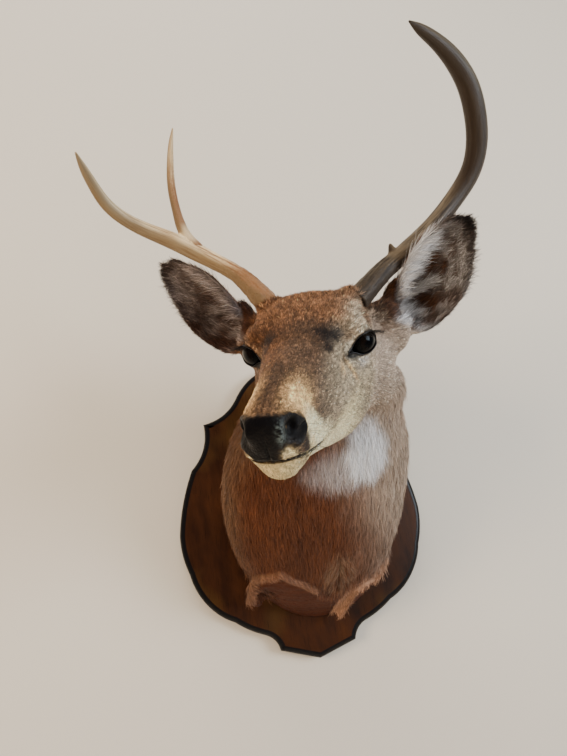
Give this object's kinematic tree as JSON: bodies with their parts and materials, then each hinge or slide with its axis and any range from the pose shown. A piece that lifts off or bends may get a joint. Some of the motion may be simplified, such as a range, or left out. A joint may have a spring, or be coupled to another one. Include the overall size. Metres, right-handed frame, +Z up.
{
  "type": "deer shoulder mount",
  "caption": "Head, neck and chest of an antlered deer, turned to its right, mounted on a shield-shaped wooden plaque that hangs on a wall by a plate let into its back.",
  "frame": {"origin": "middle of the plaque's back face, in the plane of the wall", "axes": "+Z up, +Y into the wall, -Y out of the wall the way the neck leaves it, +X to the deer's own left"},
  "size_m": [0.4559, 0.5122, 0.669],
  "materials": {
    "coat": "short grey-brown hair over a firm form",
    "ear_coat": "thin hide with short dark hair and pale fringes",
    "eye_glass": "glossy black-brown glass eye, opaque",
    "antler": "dry bone, satin, with fine lengthwise grooves",
    "walnut": "dark stained, satin varnish, black edge",
    "hanger_steel": "zinc-coated sheet"
  },
  "bodies": {
    "root": {"head": "coat", "neck": "coat", "chest": "coat", "ear_left": "ear_coat", "ear_right": "ear_coat", "eye_left": "eye_glass", "eye_right": "eye_glass", "antler_left": "antler", "antler_right_base": "antler", "antler_right_beam": "antler", "antler_right_tine": "antler", "plaque": "walnut", "hanger_plate": "hanger_steel"}
  },
  "joints": []
}
